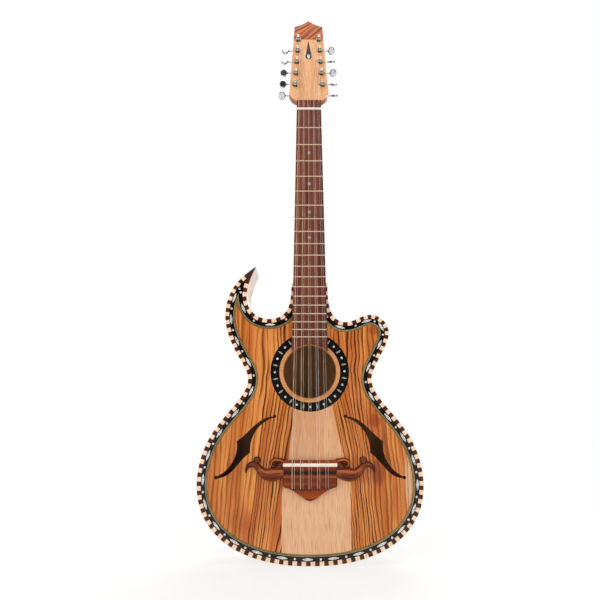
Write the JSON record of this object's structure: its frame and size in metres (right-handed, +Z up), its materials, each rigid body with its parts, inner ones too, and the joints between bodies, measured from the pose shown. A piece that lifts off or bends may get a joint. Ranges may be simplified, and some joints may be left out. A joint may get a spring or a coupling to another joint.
{
  "type": "five-course long-necked lute",
  "caption": "Flat-backed bouzouki-style lute with a horned cutaway body, chequered edging, pearl border, flame sound slots, moustache bridge and geared tuners.",
  "frame": {"origin": "middle of the overall box at its bottom: under the body's end, on the strings' centre line", "axes": "+Z up the neck to the head, the face looks along -Y, +X towards the treble strings"},
  "size_m": [0.3818, 0.0965, 1.025],
  "materials": {
    "figured_wood": "gloss lacquer over striped wood",
    "pale_wood": "satin lacquer",
    "back_wood": "gloss lacquer",
    "rib_wood": "gloss lacquer",
    "inner_wood": "bare",
    "dark_wood": "gloss lacquer",
    "light_wood": "satin lacquer",
    "black_wood": "gloss lacquer",
    "ring_wood": "satin lacquer",
    "gold_line": "satin lacquer",
    "dark_line": "satin lacquer",
    "pearl": "polished shell",
    "neck_wood": "satin lacquer",
    "rosewood": "oiled",
    "bridge_wood": "oiled",
    "bone": "polished bone",
    "fret_metal": "polished nickel silver",
    "chrome": "polished",
    "post_metal": "plated",
    "wound_string": "bronze winding",
    "plain_string": "plain steel"
  },
  "bodies": {
    "instrument": {"soundboard_bass": "figured_wood", "soundboard_center": "pale_wood", "soundboard_treble": "figured_wood", "back_bass": "back_wood", "back_treble": "back_wood", "rib_bass": "rib_wood", "rib_treble": "rib_wood", "body_blocks": "inner_wood", "linings": "inner_wood", "braces": "inner_wood", "soundboard_patches": "inner_wood", "horn_tip": "dark_wood", "binding_light": "light_wood", "binding_dark": "dark_wood", "back_binding": "dark_wood", "border_black": "black_wood", "rosette_ring": "black_wood", "soundhole_ring": "ring_wood", "purfling_gold": "gold_line", "purfling_dark": "dark_line", "pearl_inlays": "pearl", "neck": "neck_wood", "fingerboard": "rosewood", "nut_strip": "rosewood", "frets": "fret_metal", "headplate": "light_wood", "headplate_crown": "figured_wood", "head_inlay": "black_wood", "nut": "bone", "saddle": "bone", "bridge": "bridge_wood", "bridge_wings": "bridge_wood", "tuner_housings": "chrome", "tuner_bushings": "chrome", "tuner_screws": "chrome", "strings_course_1": "wound_string", "strings_course_2": "wound_string", "strings_course_3": "wound_string", "strings_course_4": "plain_string", "strings_course_5": "plain_string"},
    "tuner_key_01": {"tuner_key_01": "chrome"},
    "tuner_post_01": {"tuner_post_01": "post_metal"},
    "tuner_key_02": {"tuner_key_02": "chrome"},
    "tuner_post_02": {"tuner_post_02": "post_metal"},
    "tuner_key_03": {"tuner_key_03": "chrome"},
    "tuner_post_03": {"tuner_post_03": "post_metal"},
    "tuner_key_04": {"tuner_key_04": "chrome"},
    "tuner_post_04": {"tuner_post_04": "post_metal"},
    "tuner_key_05": {"tuner_key_05": "chrome"},
    "tuner_post_05": {"tuner_post_05": "post_metal"},
    "tuner_key_06": {"tuner_key_06": "chrome"},
    "tuner_post_06": {"tuner_post_06": "post_metal"},
    "tuner_key_07": {"tuner_key_07": "chrome"},
    "tuner_post_07": {"tuner_post_07": "post_metal"},
    "tuner_key_08": {"tuner_key_08": "chrome"},
    "tuner_post_08": {"tuner_post_08": "post_metal"},
    "tuner_key_09": {"tuner_key_09": "chrome"},
    "tuner_post_09": {"tuner_post_09": "post_metal"},
    "tuner_key_10": {"tuner_key_10": "chrome"},
    "tuner_post_10": {"tuner_post_10": "post_metal"}
  },
  "joints": [
    {"name": "key_turn_01", "type": "hinge", "parent": "instrument", "child": "tuner_key_01", "pos_m": [-0.026, -0.01348, 0.85686], "axis": [1, 0, 0], "continuous": true},
    {"name": "post_turn_01", "type": "hinge", "parent": "instrument", "child": "tuner_post_01", "pos_m": [-0.026, -0.0121, 0.86555], "axis": [0, -0.9877, 0.1564], "continuous": true},
    {"name": "key_turn_02", "type": "hinge", "parent": "instrument", "child": "tuner_key_02", "pos_m": [-0.02463, -0.00916, 0.88417], "axis": [1, 0, 0], "continuous": true},
    {"name": "post_turn_02", "type": "hinge", "parent": "instrument", "child": "tuner_post_02", "pos_m": [-0.02463, -0.00778, 0.89286], "axis": [0, -0.9877, 0.1564], "continuous": true},
    {"name": "key_turn_03", "type": "hinge", "parent": "instrument", "child": "tuner_key_03", "pos_m": [-0.02325, -0.00483, 0.91148], "axis": [1, 0, 0], "continuous": true},
    {"name": "post_turn_03", "type": "hinge", "parent": "instrument", "child": "tuner_post_03", "pos_m": [-0.02325, -0.00345, 0.92017], "axis": [0, -0.9877, 0.1564], "continuous": true},
    {"name": "key_turn_04", "type": "hinge", "parent": "instrument", "child": "tuner_key_04", "pos_m": [-0.02187, -0.00051, 0.93879], "axis": [1, 0, 0], "continuous": true},
    {"name": "post_turn_04", "type": "hinge", "parent": "instrument", "child": "tuner_post_04", "pos_m": [-0.02187, 0.00087, 0.94748], "axis": [0, -0.9877, 0.1564], "continuous": true},
    {"name": "key_turn_05", "type": "hinge", "parent": "instrument", "child": "tuner_key_05", "pos_m": [-0.0205, 0.00382, 0.9661], "axis": [1, 0, 0], "continuous": true},
    {"name": "post_turn_05", "type": "hinge", "parent": "instrument", "child": "tuner_post_05", "pos_m": [-0.0205, 0.0052, 0.97479], "axis": [0, -0.9877, 0.1564], "continuous": true},
    {"name": "key_turn_06", "type": "hinge", "parent": "instrument", "child": "tuner_key_06", "pos_m": [0.026, -0.01348, 0.85686], "axis": [1, 0, 0], "continuous": true},
    {"name": "post_turn_06", "type": "hinge", "parent": "instrument", "child": "tuner_post_06", "pos_m": [0.026, -0.0121, 0.86555], "axis": [0, -0.9877, 0.1564], "continuous": true},
    {"name": "key_turn_07", "type": "hinge", "parent": "instrument", "child": "tuner_key_07", "pos_m": [0.02463, -0.00916, 0.88417], "axis": [1, 0, 0], "continuous": true},
    {"name": "post_turn_07", "type": "hinge", "parent": "instrument", "child": "tuner_post_07", "pos_m": [0.02463, -0.00778, 0.89286], "axis": [0, -0.9877, 0.1564], "continuous": true},
    {"name": "key_turn_08", "type": "hinge", "parent": "instrument", "child": "tuner_key_08", "pos_m": [0.02325, -0.00483, 0.91148], "axis": [1, 0, 0], "continuous": true},
    {"name": "post_turn_08", "type": "hinge", "parent": "instrument", "child": "tuner_post_08", "pos_m": [0.02325, -0.00345, 0.92017], "axis": [0, -0.9877, 0.1564], "continuous": true},
    {"name": "key_turn_09", "type": "hinge", "parent": "instrument", "child": "tuner_key_09", "pos_m": [0.02187, -0.00051, 0.93879], "axis": [1, 0, 0], "continuous": true},
    {"name": "post_turn_09", "type": "hinge", "parent": "instrument", "child": "tuner_post_09", "pos_m": [0.02187, 0.00087, 0.94748], "axis": [0, -0.9877, 0.1564], "continuous": true},
    {"name": "key_turn_10", "type": "hinge", "parent": "instrument", "child": "tuner_key_10", "pos_m": [0.0205, 0.00382, 0.9661], "axis": [1, 0, 0], "continuous": true},
    {"name": "post_turn_10", "type": "hinge", "parent": "instrument", "child": "tuner_post_10", "pos_m": [0.0205, 0.0052, 0.97479], "axis": [0, -0.9877, 0.1564], "continuous": true}
  ],
  "couplings": [
    {"joint": "post_turn_01", "follows": "key_turn_01", "ratio": -0.066667},
    {"joint": "post_turn_02", "follows": "key_turn_02", "ratio": -0.066667},
    {"joint": "post_turn_03", "follows": "key_turn_03", "ratio": -0.066667},
    {"joint": "post_turn_04", "follows": "key_turn_04", "ratio": -0.066667},
    {"joint": "post_turn_05", "follows": "key_turn_05", "ratio": -0.066667},
    {"joint": "post_turn_06", "follows": "key_turn_06", "ratio": -0.066667},
    {"joint": "post_turn_07", "follows": "key_turn_07", "ratio": -0.066667},
    {"joint": "post_turn_08", "follows": "key_turn_08", "ratio": -0.066667},
    {"joint": "post_turn_09", "follows": "key_turn_09", "ratio": -0.066667},
    {"joint": "post_turn_10", "follows": "key_turn_10", "ratio": -0.066667}
  ]
}
